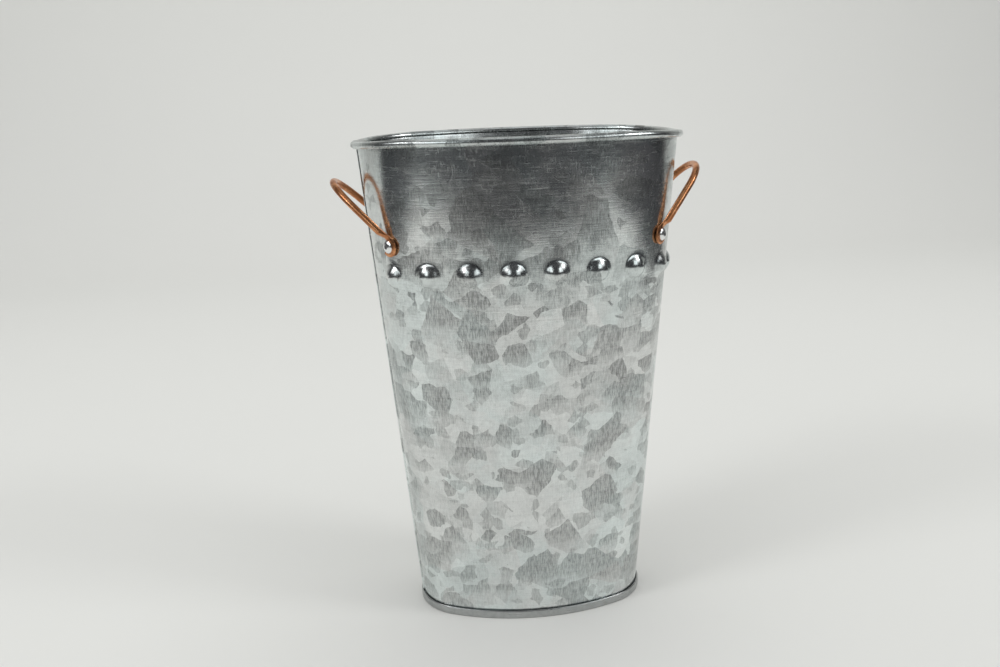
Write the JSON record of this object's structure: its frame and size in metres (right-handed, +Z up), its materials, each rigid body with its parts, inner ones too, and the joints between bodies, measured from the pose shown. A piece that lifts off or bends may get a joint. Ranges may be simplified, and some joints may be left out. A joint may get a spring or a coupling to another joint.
{
  "type": "florist bucket",
  "caption": "Tall oval tapered bucket in galvanised sheet, with a rolled rim, a row of embossed studs and two riveted wire handles, for cut flowers.",
  "frame": {"origin": "on the floor, at the middle of the bucket", "axes": "+Z up, X along the long way of the oval with a handle at each end and the side seam at -X, -Y is the front"},
  "size_m": [0.1718, 0.104, 0.23],
  "materials": {
    "galvanised_steel": "bright spangled zinc, lightly brushed",
    "copper_wire": "copper-plated wire, satin",
    "rivet_aluminium": "polished",
    "pin_steel": "plain",
    "steel_wire": "plain drawn wire",
    "sealant": "grey sealing compound"
  },
  "bodies": {
    "root": {"bucket_wall": "galvanised_steel", "rim_wire": "steel_wire", "base_pan": "galvanised_steel", "base_seam_sealant": "sealant", "left_handle": "copper_wire", "right_handle": "copper_wire", "left_front_rivet": "rivet_aluminium", "left_front_rivet_pin": "pin_steel", "left_back_rivet": "rivet_aluminium", "left_back_rivet_pin": "pin_steel", "right_front_rivet": "rivet_aluminium", "right_front_rivet_pin": "pin_steel", "right_back_rivet": "rivet_aluminium", "right_back_rivet_pin": "pin_steel"}
  },
  "joints": []
}
